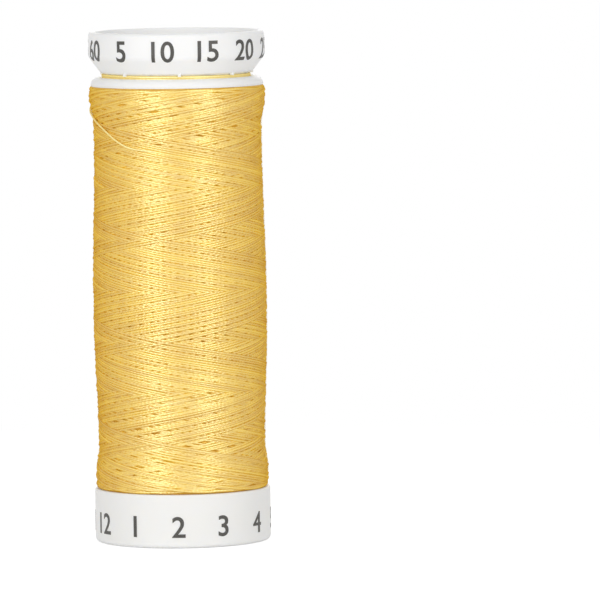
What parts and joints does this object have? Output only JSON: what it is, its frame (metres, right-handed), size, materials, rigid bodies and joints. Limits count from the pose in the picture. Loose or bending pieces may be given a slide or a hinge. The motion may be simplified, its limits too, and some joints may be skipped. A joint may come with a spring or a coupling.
{
  "type": "snap spool of sewing thread",
  "caption": "Upright snap spool wound with sewing thread: flanged barrel, dished lock cap with spring tongues over a thread groove, and a clear label film on the back.",
  "frame": {"origin": "centre of the base band's rest face, on the spindle axis", "axes": "+Z along the spindle bore towards the snap cap, -Y towards the bare thread side, +Y towards the label film"},
  "size_m": [0.0202, 0.0202, 0.0581],
  "materials": {
    "white_plastic": "semi-gloss moulded white",
    "cap_plastic": "semi-gloss moulded white",
    "thread": "soft sheen of polyester thread",
    "clear_film": "clear glossy film"
  },
  "bodies": {
    "spool": {"spool_body": "white_plastic", "thread_package": "thread", "thread_outer_turns": "thread", "thread_tail": "thread", "thread_lock_turns": "thread", "label_film": "clear_film"},
    "cap": {"snap_cap": "cap_plastic"}
  },
  "joints": [
    {"name": "cap_snap", "type": "slide", "parent": "spool", "child": "cap", "axis": [0, 0, 1], "range_m": [0, 0.0012]}
  ]
}
